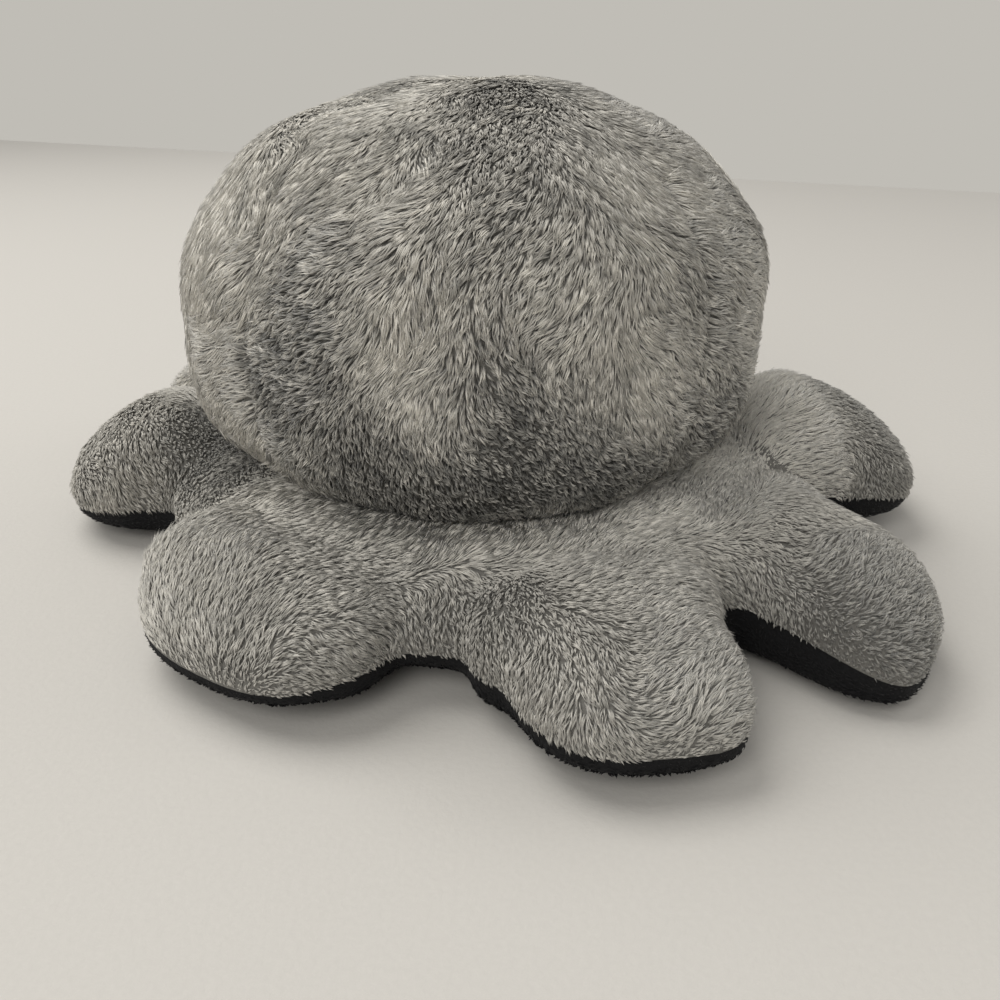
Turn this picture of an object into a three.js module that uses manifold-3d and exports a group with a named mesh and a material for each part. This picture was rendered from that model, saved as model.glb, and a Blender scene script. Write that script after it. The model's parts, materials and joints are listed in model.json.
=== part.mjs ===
// A reversible plush octopus, grey side out: a stuffed head of four gores over a skirt of eight short tentacles.
// The black head of the other side is tucked up inside it, as a pocket that opens underneath.
// Lengths are in millimetres and +Z is up. The toy stands on Z = 0, with the axis of its head on the Z axis.
// Azimuths are in degrees from -Y, the side that the photograph shows, towards +X.
import * as THREE from "three";
import { mergeVertices } from "three/addons/utils/BufferGeometryUtils.js";
import Module from "manifold-3d";

const wasm = await Module();
wasm.setup();

// Cloth, thread and the gaps between pieces
const clothThickness = 1.6; // backing and the dense foot of the pile
const pieceGap = 0.4; // between pieces that touch on the real toy
const threadRadius = 0.5;
const threadGap = 0.3;

// Head
const headRadius = 61.4;
const headHalfHeight = 42; // from its widest level to the crown
const seamDip = 1.8; // how deep a seam draws the head in
const seamReach = 11; // how far to each side of a seam it does so
const crownRadius = 1.3; // of the hole that the points of the gores leave at the crown
const neckRadius = 45; // where the head is sewn to the skirt
const goreCount = 4;

// Skirt
const skirtHeight = 23; // from the floor to its top beside the neck
const skirtEdgeRound = 16; // radial length of its rounded edge
const hingeDistance = 66; // from the axis of the head to the line where a tentacle bends
const webReach = 6.5; // how far the webs between tentacles reach past that line
const leastWeb = 1.5; // half of the cloth left between two tentacles where they come closest
const hingeClearance = 0.8; // round a tentacle's root

// Tentacles
const tentacleLength = 36; // from the bend line to the tip
const tentacleHalfWidth = 20; // where it is widest
const tentacleEndRound = 20; // length of the rounded end
const swellLength = 9; // over which it widens, beyond the webs
const bulbRise = 8; // how far a tentacle's back stands above the skirt
const tipSeamHeight = 7.5; // of the edge seam at the tip, above the floor
const solePress = 0.5; // how deep the floor presses the sole flat
const liftLimit = 40; // degrees that a tentacle bends up
const droopLimit = 15; // degrees that it bends down

// Powers of a sine or cosine: the lower, the squarer a curve is
const upperHeadPower = 0.95;
const lowerHeadPower = 0.7;
const rootPower = 0.45; // across a tentacle, at its root
const bulbPower = 0.7; // across a tentacle, where it is widest
const endPower = 0.8; // round its end, seen from above
const endRisePower = 0.9; // round its end, seen from the side

// Pocket
const pocketRadius = 30;
const pocketHeight = 62; // from the floor to its top
const pleatDepth = 1.6; // of the soft folds in which the inner head lies
const pleatsPerGore = 2;

// Facets
const goreColumns = 8;
const goreRows = 8;
const pocketRows = 7;
const skirtColumns = 32;
const edgeRows = 3;
const limbColumns = 7;
const wrapRows = 3;
const bodyRows = 3;
const endRows = 3;
const hingeColumns = 16;
const hingeRows = 8;
const threadSides = 5;
const threadColumns = 32;

const seamRiseShare = 0.5; // of what the seam sinks along a tentacle, by which the back stands higher over it
const columnWarpShare = 0.7; // how far the columns of a head gore crowd towards its seams

// Each tentacle as it lies in the photograph. Shares are of the sizes above, and a bow share gives how far the tip
// bends sideways, towards growing azimuth, as a share of the tentacle's half width.
const tentacles = [
  { name: "tentacle_1", azimuth: -94, lengthShare: 0.96, widthShare: 1.05, riseShare: 0.9, bowShare: -0.3 },
  { name: "tentacle_2", azimuth: -34, lengthShare: 0.6, widthShare: 1.45, riseShare: 0.6, bowShare: 0 },
  { name: "tentacle_3", azimuth: 17, lengthShare: 0.93, widthShare: 1.05, riseShare: 0.7, bowShare: 0.2 },
  { name: "tentacle_4", azimuth: 54, lengthShare: 1.12, widthShare: 0.95, riseShare: 0.7, bowShare: -0.55 },
  { name: "tentacle_5", azimuth: 96, lengthShare: 1.02, widthShare: 1.2, riseShare: 1.2, bowShare: 0 },
  { name: "tentacle_6", azimuth: 142, lengthShare: 0.95, widthShare: 1, riseShare: 0.8, bowShare: 0 },
  { name: "tentacle_7", azimuth: 184, lengthShare: 0.83, widthShare: 1.05, riseShare: 0.8, bowShare: 0 },
  { name: "tentacle_8", azimuth: 226, lengthShare: 1.05, widthShare: 1, riseShare: 1.4, bowShare: 0.8 },
];

// Materials
const greyPlush = new THREE.MeshStandardMaterial({ color: 0x96938b, roughness: 0.95, metalness: 0 });
const blackPlush = new THREE.MeshStandardMaterial({ color: 0x151515, roughness: 0.95, metalness: 0 });
const fibreFilling = new THREE.MeshStandardMaterial({ color: 0xeeece6, roughness: 1, metalness: 0 });
const greyThread = new THREE.MeshStandardMaterial({ color: 0x84817a, roughness: 0.7, metalness: 0 });
const blackThread = new THREE.MeshStandardMaterial({ color: 0x0c0c0e, roughness: 0.7, metalness: 0 });

// Sizes that follow from the ones above
const fillingInset = clothThickness + pieceGap;
const halfSkirt = skirtHeight / 2;
const webRadius = hingeDistance + webReach;
const lipDistance = hingeDistance - halfSkirt * Math.tan(radians(liftLimit));
const rootHalfWidth = widestRoot();
const goreAngle = (2 * Math.PI) / goreCount;
const neckLatitude = -Math.acos((neckRadius / headRadius) ** (1 / lowerHeadPower));
const headCentre = skirtHeight + pieceGap + headHalfHeight * (-Math.sin(neckLatitude)) ** lowerHeadPower;
const pocketBase = clothThickness + pieceGap;
const pocketDome = pocketHeight - pocketBase;

function radians(degrees) {
  return THREE.MathUtils.degToRad(degrees);
}

// The widest that the roots can be, in their shares, with the least web left between each and the next.
function widestRoot() {
  const widths = tentacles.map((tentacle, i) => {
    const next = tentacles[(i + 1) % tentacles.length];
    const spacing = THREE.MathUtils.euclideanModulo(radians(next.azimuth - tentacle.azimuth), 2 * Math.PI);
    const room = lipDistance * Math.tan(spacing / 2) - hingeClearance - leastWeb;
    return (2 * room) / (tentacle.widthShare + next.widthShare);
  });
  return Math.min(...widths);
}

function around(radius, azimuth, height) {
  return new THREE.Vector3(radius * Math.sin(azimuth), -radius * Math.cos(azimuth), height);
}

// A closed geometry from the corners of its triangles: corners at one place are merged, triangles that this
// empties are dropped, and the faces are turned outwards.
function closedGeometry(corners) {
  const merged = mergeVertices(new THREE.BufferGeometry().setFromPoints(corners));
  const index = merged.index.array;
  const at = (i) => new THREE.Vector3().fromBufferAttribute(merged.attributes.position, i);
  const kept = [];
  let volume = 0;
  for (let i = 0; i < index.length; i += 3) {
    const [a, b, c] = index.slice(i, i + 3);
    if (a !== b && b !== c && c !== a) {
      kept.push(a, b, c);
      volume += at(a).dot(at(b).cross(at(c)));
    }
  }
  merged.setIndex(volume < 0 ? kept.reverse() : kept);
  return merged;
}

// The solid between two faces on one grid of rows and columns. Each face is a function of the row share and the
// column share, both from 0 to 1. With wrap, the last column is the first again. Both faces split their cells along
// the same diagonals, so that thin cloth keeps its thickness.
function sheetGeometry(rows, columns, front, back, wrap = false) {
  const corners = [];
  const quad = (a, b, c, d) => corners.push(a, b, c, a, c, d);
  const place = (face, row, column) => face(row / rows, (wrap ? column % columns : column) / columns);
  const strip = (row, column, nextRow, nextColumn) =>
    quad(
      place(front, row, column),
      place(front, nextRow, nextColumn),
      place(back, nextRow, nextColumn),
      place(back, row, column),
    );
  for (let r = 0; r < rows; r++) {
    for (let c = 0; c < columns; c++) {
      const [first, below, across, beside] = [[r, c], [r + 1, c], [r + 1, c + 1], [r, c + 1]];
      quad(...[first, below, across, beside].map(([row, column]) => place(front, row, column)));
      quad(...[first, beside, across, below].map(([row, column]) => place(back, row, column)));
    }
  }
  for (let c = 0; c < columns; c++) {
    strip(0, c, 0, c + 1);
    strip(rows, c + 1, rows, c);
  }
  for (let r = 0; r < rows && !wrap; r++) {
    strip(r + 1, 0, r, 0);
    strip(r, columns, r + 1, columns);
  }
  return closedGeometry(corners);
}

// The ring that a closed profile of radius and height points sweeps round the Z axis.
function ringGeometry(profile) {
  const corners = [];
  const place = (i, column) => {
    const point = profile[i % profile.length];
    return around(point.x, ((column % skirtColumns) / skirtColumns) * 2 * Math.PI, point.y);
  };
  for (let i = 0; i < profile.length; i++) {
    for (let c = 0; c < skirtColumns; c++) {
      corners.push(place(i, c), place(i + 1, c), place(i + 1, c + 1));
      corners.push(place(i, c), place(i + 1, c + 1), place(i, c + 1));
    }
  }
  return closedGeometry(corners);
}

function solidFrom(geometry, matrix = new THREE.Matrix4()) {
  const placed = (geometry.index ? geometry.toNonIndexed() : geometry.clone()).applyMatrix4(matrix);
  const position = placed.attributes.position;
  const corners = [];
  for (let i = 0; i < position.count; i++) {
    corners.push(new THREE.Vector3().fromBufferAttribute(position, i));
  }
  const closed = closedGeometry(corners);
  return new wasm.Manifold(
    new wasm.Mesh({
      numProp: 3,
      vertProperties: closed.attributes.position.array,
      triVerts: new Uint32Array(closed.index.array),
    }),
  );
}

function geometryFrom(solid) {
  const mesh = solid.getMesh();
  return new THREE.BufferGeometry()
    .setAttribute("position", new THREE.BufferAttribute(mesh.vertProperties, mesh.numProp))
    .setIndex(new THREE.BufferAttribute(mesh.triVerts, 1));
}

function addMesh(group, name, geometry, material) {
  const mesh = new THREE.Mesh(geometry, material);
  mesh.name = name;
  group.add(mesh);
}

// The azimuth of a column of a gore, with a gap left free between the gores. Warp crowds the columns to the seams.
function goreAzimuth(index, columnShare, gapAngle, warpShare) {
  const warped = 0.5 - Math.cos(columnShare * Math.PI) / 2;
  const share = THREE.MathUtils.lerp(columnShare, warped, warpShare);
  return index * goreAngle + (2 * share - 1) * (goreAngle - gapAngle) / 2;
}

// Head: a flattened ball, fuller below than above and drawn in along the seams between its gores
function headProfile(inset, latitude) {
  const power = latitude > 0 ? upperHeadPower : lowerHeadPower;
  const rise = Math.sign(latitude) * Math.abs(Math.sin(latitude)) ** power;
  return {
    radius: (headRadius - inset) * Math.max(0, Math.cos(latitude)) ** power,
    height: headCentre + (headHalfHeight - inset) * rise,
  };
}

function headPoint(inset, azimuth, latitude) {
  const { radius, height } = headProfile(inset, latitude);
  const offSeam = THREE.MathUtils.euclideanModulo(azimuth + goreAngle / 2, goreAngle);
  const toSeam = Math.min(offSeam, goreAngle - offSeam) * radius;
  const dip = seamDip * Math.exp(-((toSeam / seamReach) ** 2)) * Math.cos(latitude);
  return around(radius - dip, azimuth, height);
}

function headGoreGeometry(index) {
  const crownLatitude = Math.acos((crownRadius / headRadius) ** (1 / upperHeadPower));
  const face = (inset) => (rowShare, columnShare) => {
    const latitude = THREE.MathUtils.lerp(neckLatitude, crownLatitude, rowShare);
    const gapAngle = pieceGap / headProfile(0, latitude).radius;
    return headPoint(inset, goreAzimuth(index, columnShare, gapAngle, columnWarpShare), latitude);
  };
  return sheetGeometry(goreRows, goreColumns, face(0), face(clothThickness));
}

// Pocket: a tall dome of slack cloth, lying in soft folds
function pocketPoint(outset, azimuth, latitude) {
  const fold = pleatDepth * Math.cos(azimuth * goreCount * pleatsPerGore) * Math.sin(2 * latitude);
  return around(
    (pocketRadius + outset) * Math.cos(latitude) + fold,
    azimuth,
    pocketBase + (pocketDome + outset) * Math.sin(latitude),
  );
}

function pocketGoreGeometry(index) {
  const crownLatitude = Math.acos(crownRadius / pocketRadius);
  const face = (outset) => (rowShare, columnShare) => {
    const latitude = crownLatitude * rowShare;
    const gapAngle = pieceGap / (pocketRadius * Math.cos(latitude));
    return pocketPoint(outset, goreAzimuth(index, columnShare, gapAngle, 0), latitude);
  };
  return sheetGeometry(pocketRows, goreColumns, face(0), face(clothThickness));
}

// The filling of the head lies between the grey gores and the black ones, and on the filling of the skirt.
function headFillingGeometry() {
  const base = skirtHeight - clothThickness;
  const rows = goreRows + 1;
  const columnAzimuth = (columnShare, warpShare) => {
    const column = columnShare * goreCount;
    return goreAzimuth(Math.floor(column), column % 1, 0, warpShare);
  };
  const outer = (rowShare, columnShare) => {
    const azimuth = columnAzimuth(columnShare, columnWarpShare);
    if (rowShare === 0) return around(neckRadius - clothThickness - 2 * pieceGap, azimuth, base);
    const goreShare = (rowShare * rows - 1) / goreRows;
    return headPoint(fillingInset, azimuth, THREE.MathUtils.lerp(neckLatitude, Math.PI / 2, goreShare));
  };
  const lowest = Math.asin((base - pocketBase) / (pocketDome + fillingInset));
  const inner = (rowShare, columnShare) => {
    const latitude = THREE.MathUtils.lerp(lowest, Math.PI / 2, rowShare);
    return pocketPoint(fillingInset, columnAzimuth(columnShare, 0), latitude);
  };
  return sheetGeometry(rows, goreColumns * goreCount, outer, inner, true);
}

// Skirt: a ring with a rounded edge, cut away where the tentacles bend
function edgeProfile(inset, side, halfGap) {
  const points = [];
  for (let i = 0; i <= edgeRows; i++) {
    const turn = ((i / edgeRows) * Math.PI) / 2;
    const depth = THREE.MathUtils.lerp(halfGap, halfSkirt - inset, Math.cos(turn));
    const radius = webRadius - skirtEdgeRound + (skirtEdgeRound - inset) * Math.sin(turn);
    points.push(new THREE.Vector2(radius, halfSkirt + side * depth));
  }
  return points;
}

function skirtCoverProfile(side, innerRadius) {
  const profile = [
    ...edgeProfile(0, side, pieceGap / 2),
    ...edgeProfile(clothThickness, side, pieceGap / 2).reverse(),
  ];
  profile.push(new THREE.Vector2(innerRadius, profile.at(-1).y));
  profile.push(new THREE.Vector2(innerRadius, profile[0].y));
  return profile;
}

function skirtFillingProfile() {
  const innerRadius = pocketRadius + fillingInset + pleatDepth / 2;
  return [
    new THREE.Vector2(innerRadius, skirtHeight - fillingInset),
    ...edgeProfile(fillingInset, 1, 0),
    ...edgeProfile(fillingInset, -1, 0).reverse().slice(1),
    new THREE.Vector2(innerRadius, fillingInset),
  ];
}

// A frame at a tentacle's bend line: X points outwards, Y along the line and Z up.
function hingeMatrix(tentacle) {
  const azimuth = radians(tentacle.azimuth);
  return new THREE.Matrix4()
    .makeRotationZ(azimuth - Math.PI / 2)
    .setPosition(around(hingeDistance, azimuth, halfSkirt));
}

// How full a section is at a turn across it: 1 in the middle, and 0 at the edge seams.
function fullness(turn, power) {
  return Math.max(0, Math.cos(turn)) ** power;
}

// What the skirt leaves free for a tentacle: room round its root, and a wedge in which it swings.
function swingRoom(tentacle) {
  const halfWidth = rootHalfWidth * tentacle.widthShare + hingeClearance;
  const profile = [];
  for (let i = 0; i <= hingeRows; i++) {
    const turn = (i / hingeRows - 0.5) * Math.PI;
    const radius = (halfSkirt + hingeClearance) * fullness(turn, rootPower);
    profile.push(new THREE.Vector2(i === 0 || i === hingeRows ? 0 : radius, halfWidth * Math.sin(turn)));
  }
  const room = new THREE.LatheGeometry(profile, hingeColumns);
  const up = Math.PI / 2 + radians(liftLimit);
  const down = -Math.PI / 2 - radians(droopLimit);
  const corner = (x, z) => new THREE.Vector2(tentacleLength * x, tentacleLength * z);
  const wedge = new THREE.Shape([
    corner(0, 0),
    corner(Math.cos(down), Math.sin(down)),
    corner(1, Math.sin(down)),
    corner(1, Math.sin(up)),
    corner(Math.cos(up), Math.sin(up)),
  ]);
  const prism = new THREE.ExtrudeGeometry(wedge, { depth: 2 * halfWidth, bevelEnabled: false })
    .rotateX(Math.PI / 2)
    .translate(0, halfWidth, 0);
  const matrix = hingeMatrix(tentacle);
  return solidFrom(room, matrix).add(solidFrom(prism, matrix));
}

function addSkirt(group) {
  const rooms = tentacles.map(swingRoom).reduce((all, room) => all.add(room));
  const cut = (profile) => geometryFrom(solidFrom(ringGeometry(profile)).subtract(rooms));
  addMesh(group, "skirt_top", cut(skirtCoverProfile(1, neckRadius - clothThickness)), greyPlush);
  addMesh(group, "skirt_bottom", cut(skirtCoverProfile(-1, pocketRadius)), blackPlush);
  addMesh(group, "skirt_filling", cut(skirtFillingProfile()), fibreFilling);
}

function limbSizes(tentacle) {
  const length = tentacleLength * tentacle.lengthShare;
  const end = Math.min(tentacleEndRound, length);
  return {
    length,
    end,
    straight: length - end,
    rise: bulbRise * tentacle.riseShare,
    bow: tentacleHalfWidth * tentacle.bowShare,
  };
}

// The rows of a tentacle, as shares: from -1 at the far side of its root over 0 at the bend line to 1 at the tip.
function limbShares(tentacle) {
  const { length, straight } = limbSizes(tentacle);
  const shares = [];
  for (let i = 0; i < wrapRows; i++) {
    shares.push(i / wrapRows - 1);
  }
  for (let i = 0; i < bodyRows; i++) {
    shares.push(((straight / length) * i) / bodyRows);
  }
  for (let i = 0; i <= endRows; i++) {
    const past = Math.sin(((i / endRows) * Math.PI) / 2);
    shares.push(THREE.MathUtils.lerp(straight / length, 1, past));
  }
  return shares;
}

// A point on the root of a tentacle, which is round about the bend line so that it turns in its room.
function rootPoint(tentacle, inset, side, halfGap, wrap, turn) {
  const radius = (halfSkirt - inset) * fullness(turn, rootPower);
  return new THREE.Vector3(
    -radius * Math.sin(wrap),
    (rootHalfWidth * tentacle.widthShare - inset) * Math.sin(turn),
    side * Math.max(radius * Math.cos(wrap), halfGap),
  );
}

// A point on the free part of a tentacle, on its back (side 1) or its sole (side -1).
function bulbPoint(tentacle, inset, side, halfGap, share, turn) {
  const sizes = limbSizes(tentacle);
  const x = share * sizes.length;
  const past = Math.max(0, (x - sizes.straight) / sizes.end);
  const taper = Math.sqrt(Math.max(0, 1 - past ** 2));
  const swollen = webReach + swellLength;
  const swell = THREE.MathUtils.smoothstep(x, webReach, swollen);
  const sink = (halfSkirt - tipSeamHeight) * THREE.MathUtils.smoothstep(share, 0, 1);
  const back = halfSkirt + (sizes.rise + sink * seamRiseShare) * THREE.MathUtils.smoothstep(x, 0, swollen);
  const depth = (side > 0 ? back : halfSkirt - sink + solePress) - inset;
  const power = THREE.MathUtils.lerp(rootPower, bulbPower, swell);
  const rise = Math.max(halfGap, depth * fullness(turn, power) * taper ** endRisePower);
  const halfWidth = THREE.MathUtils.lerp(rootHalfWidth, tentacleHalfWidth, swell) * tentacle.widthShare;
  return new THREE.Vector3(
    Math.min(x, sizes.straight) + past * (sizes.end - inset),
    sizes.bow * share ** 2 + (halfWidth - inset) * taper ** endPower * Math.sin(turn),
    Math.max(side * rise - sink, inset - halfSkirt),
  );
}

function limbFace(tentacle, shares, inset, side, halfGap) {
  return (rowShare, columnShare) => {
    const share = shares[Math.round(rowShare * (shares.length - 1))];
    const turn = (columnShare - 0.5) * Math.PI;
    return share < 0
      ? rootPoint(tentacle, inset, side, halfGap, (-share * Math.PI) / 2, turn)
      : bulbPoint(tentacle, inset, side, halfGap, share, turn);
  };
}

// A cover leaves the far side of the root bare.
function limbCoverGeometry(tentacle, side) {
  const shares = limbShares(tentacle).slice(1);
  const face = (inset) => limbFace(tentacle, shares, inset, side, pieceGap / 2);
  return sheetGeometry(shares.length - 1, limbColumns, face(0), face(clothThickness));
}

function limbFillingGeometry(tentacle) {
  const shares = limbShares(tentacle);
  const face = (side) => limbFace(tentacle, shares, fillingInset, side, 0);
  return sheetGeometry(shares.length - 1, limbColumns, face(1), face(-1));
}

function addTentacle(group, tentacle) {
  const limb = new THREE.Group();
  hingeMatrix(tentacle).decompose(limb.position, limb.quaternion, limb.scale);
  addMesh(limb, tentacle.name + "_top", limbCoverGeometry(tentacle, 1), greyPlush);
  addMesh(limb, tentacle.name + "_bottom", limbCoverGeometry(tentacle, -1), blackPlush);
  addMesh(limb, tentacle.name + "_filling", limbFillingGeometry(tentacle), fibreFilling);
  group.add(limb);
}

function threadGeometry(radius, height) {
  return new THREE.TorusGeometry(radius, threadRadius, threadSides, threadColumns).translate(0, 0, height);
}

// The threads of the two round seams: one in the crease of the neck, one inside the mouth of the pocket.
function addThreads(group) {
  const neckThread = threadGeometry(neckRadius + clothThickness, skirtHeight + threadGap + threadRadius);
  const mouthThread = threadGeometry(pocketRadius - threadGap - threadRadius, pocketBase);
  addMesh(group, "neck_seam_thread", neckThread, greyThread);
  addMesh(group, "pocket_seam_thread", mouthThread, blackThread);
}

function buildOctopus() {
  const octopus = new THREE.Group();
  for (let i = 0; i < goreCount; i++) {
    addMesh(octopus, "head_gore_" + (i + 1), headGoreGeometry(i), greyPlush);
    addMesh(octopus, "inner_head_gore_" + (i + 1), pocketGoreGeometry(i), blackPlush);
  }
  addMesh(octopus, "head_filling", headFillingGeometry(), fibreFilling);
  addSkirt(octopus);
  for (const tentacle of tentacles) {
    addTentacle(octopus, tentacle);
  }
  addThreads(octopus);
  return octopus;
}

export default buildOctopus();
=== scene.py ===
"""A reversible plush octopus, grey side out: its cloth and pile over the frame, with floor, light and camera.

Lengths are in metres and +Z is up. The toy stands on Z = 0, with the axis of its head on the Z axis. Azimuths
are in degrees from -Y, the side that the photograph shows, towards +X.
"""
import json
import math
from collections import namedtuple

import bmesh
import bpy
import numpy as np
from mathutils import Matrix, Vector


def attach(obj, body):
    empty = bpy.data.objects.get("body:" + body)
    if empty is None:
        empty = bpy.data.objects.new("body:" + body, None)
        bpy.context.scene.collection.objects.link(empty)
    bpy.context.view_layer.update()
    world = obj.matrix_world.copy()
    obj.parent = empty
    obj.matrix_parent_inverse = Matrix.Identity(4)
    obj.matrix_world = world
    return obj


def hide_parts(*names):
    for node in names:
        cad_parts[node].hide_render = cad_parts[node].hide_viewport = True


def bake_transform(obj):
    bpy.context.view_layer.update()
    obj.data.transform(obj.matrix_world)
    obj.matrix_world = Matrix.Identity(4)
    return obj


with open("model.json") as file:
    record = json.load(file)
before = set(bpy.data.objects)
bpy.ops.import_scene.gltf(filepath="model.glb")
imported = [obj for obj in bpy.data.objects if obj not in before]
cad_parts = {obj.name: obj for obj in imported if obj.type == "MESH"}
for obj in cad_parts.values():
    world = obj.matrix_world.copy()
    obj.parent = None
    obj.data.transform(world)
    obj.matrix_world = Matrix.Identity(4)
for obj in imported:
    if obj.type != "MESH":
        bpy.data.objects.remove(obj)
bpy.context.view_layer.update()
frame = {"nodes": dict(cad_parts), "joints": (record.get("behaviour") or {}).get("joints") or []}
rng = np.random.default_rng(seed=20)

# Camera, as fitted to the outlines in the photograph
IMAGE_SIDE = 1000  # pixels
FOCAL_PIXELS = 981
SENSOR_WIDTH = 36  # millimetres, as Blender counts them
CAMERA_PLACE = (0.0044, -0.2115, 0.1085)
CAMERA_DOWN = 25.9  # degrees below the horizon
FLOOR_EDGE_PIXELS = ((0, 140), (1000, 193))  # two points on the line where floor and backdrop meet

# Head, as in the part's source
HEAD_RADIUS = 0.0614
HEAD_HALF_HEIGHT = 0.042
NECK_RADIUS = 0.045
SEAM_DIP = 0.0018
SEAM_REACH = 0.011
UPPER_HEAD_POWER = 0.95
LOWER_HEAD_POWER = 0.7
GORE_COUNT = 4
PIECE_GAP = 0.0004  # between the head and the skirt

# Skirt and tentacles, as in the part's source
SKIRT_HEIGHT = 0.023
HINGE_DISTANCE = 0.066
ROOT_REACH = 0.0065  # past the bend line, where a tentacle begins to widen
TENTACLE_LENGTH = 0.036
TENTACLE_HALF_WIDTH = 0.020
ROOT_HALF_WIDTH = 0.0162
END_ROUND = 0.020
SWELL_LENGTH = 0.009
BULB_RISE = 0.008
TIP_SEAM_HEIGHT = 0.0075
ROOT_POWER = 0.45
BULB_POWER = 0.7
END_POWER = 0.72
END_RISE_POWER = 0.9
SEAM_RISE_SHARE = 0.5
SEAM_POWER = 3  # how late the seam comes down to its height at the tip
LIMB_INSET = 0.016  # from the bend line inwards, where a tentacle's cloth starts
RISE_LENGTH = 0.028  # from there to its full rise

# Each tentacle: shares of the length, width, root width, rise, half width (for its sideways bow) and tip seam
# height above, and of the power that squares its end, and how far its end slants
TENTACLE_SHARES = {
    "tentacle_1": (0.91, 1.05, 1.2, 1.2, -0.1, 0.75, 1.1, 0),
    "tentacle_2": (0.63, 1.39, 1.75, 0.5, 0.1, 1.05, 1, 0),
    "tentacle_3": (0.97, 1, 1.45, 0.5, 0.08, 1.1, 0.75, 0.14),
    "tentacle_4": (1.12, 0.97, 1.15, 0.45, -0.42, 0.72, 1, 0),
    "tentacle_5": (1.02, 1.1, 1.4, 1.6, -0.1, 1.05, 1, 0),
    "tentacle_6": (0.95, 1, 1.2, 0.8, 0, 1, 1.1, 0),
    "tentacle_7": (0.83, 1.05, 1.25, 0.8, 0, 1, 1.1, 0),
    "tentacle_8": (1.2, 1, 1.2, 1.5, 0.6, 1, 1.1, 0),
}
CREST_FALL = 0.6  # share of its rise that a tentacle loses from root to tip

# Swellings of the skirt beside the roots: azimuth in degrees, and the same shares
SHOULDER_SHARES = {
    -46: (0.4, 0.75, 0.85, 0.4, 0, 1.1, 1, 0),
    64: (0.45, 0.75, 0.85, 0.42, 0, 1, 1, 0),
}

# The web after each tentacle, towards growing azimuth: how far it reaches past the bend lines, how far
# inwards its edge is rounded, and the height of the seam there
WEB_REACHES = (0.004, 0.006, 0.0095, 0.0065, 0.0065, 0.0065, 0.0065, 0.0065)
WEB_ROUNDS = (0.023, 0.018, 0.022, 0.023, 0.021, 0.021, 0.021, 0.021)
WEB_SEAM_HEIGHTS = (0.0100, 0.0100, 0.0118, 0.013, 0.0125, 0.0115, 0.0105, 0.0095)

# How square the underside is: azimuth in degrees, and the power of its profile
SOLE_POWERS = (
    (-94, 1.0),
    (-60, 0.9),
    (-34, 0.85),
    (-8, 1.3),
    (17, 0.65),
    (30, 0.7),
    (40, 0.3),
    (49, 0.4),
    (58, 1),
    (96, 1.3),
)

# Pocket, as in the part's source
POCKET_RADIUS = 0.030
POCKET_HEIGHT = 0.062
POCKET_BASE = 0.002
FOLD_DEPTH = 0.0016
FOLDS = 8
POCKET_TOP_LATITUDE = 88  # degrees

# Cloth
HEAD_CLOTH_DEPTH = 0.0017  # of the cloth under the outer ends of the pile
NECK_CLOTH_DEPTH = 0.0006
HEM_LATITUDE = -62  # degrees, where the head's cloth ends inside the skirt
CROWN_LATITUDE = 89.5
HEAD_DISTANCES = (0.1, 0.4)  # from the camera, between which it sees the head
HEAD_STEP = 0.0005
SKIRT_CLOTH_DEPTH = 0.0011
LUMP_DEPTH = 0.00045
LUMP_WAVE = 0.035
CREASE_DEPTH = 0.0012
CREASE_REACH = 0.0016
CROWN_DIMPLE = 0.0006
CROWN_REACH = 0.006

# Where the head swells, or sinks: azimuth in degrees, share of its half height, reach and depth
BULGES = (
    (-78, -0.45, 0.026, 0.0026),
    (-113, 0.5, 0.026, 0.0024),
    (125, 0.6, 0.022, 0.0014),
    (180, 0.8, 0.028, 0.0018),
    (88, 0.6, 0.022, -0.0009),
)

# How finely the cloth is made
GORE_COLUMNS = 64
GORE_ROWS = 84
COLUMN_WARP = 0.7  # how much closer a gore's columns stand at its seams
POCKET_COLUMNS = 28
POCKET_ROWS = 40
SKIRT_COLUMNS = 240
LIMB_ROWS = 40
LIMB_COLUMNS = 48
EDGE_ROWS = 12
REMESH_CELL = 0.0012
SMOOTHING_ROUNDS = 12
SMOOTHING_FACTOR = 0.5
CUT_TOLERANCE = 1e-7
SHORTEST = 1e-12  # a vector that still counts as having a direction

SOLE_HEIGHT = 0.0011  # of the sole's cloth over the floor
FLOOR_GAP = 0.0001  # under the lowest pile

# The inner wall of the skirt from the floor to its collar against the head: radius and height
INNER_WALL = (
    (POCKET_RADIUS, 0.0),
    (POCKET_RADIUS, 0.0015),
    (0.036, 0.004),
    (0.042, SKIRT_HEIGHT),
    (0.0465, SKIRT_HEIGHT + 0.0028),
)
SKIRT_SWELL = 0.0026  # of the skirt's top over the part's solid

# Where the skirt carries pile, from the axis of the head
TOP_PILE_START = 0.043
SOLE_PILE_START = 0.030
WALL_REACH = 0.046  # within which cloth that faces the axis is the inner wall
INWARD_FACING = -0.4  # outward part of the normal, below which cloth faces the axis

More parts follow.
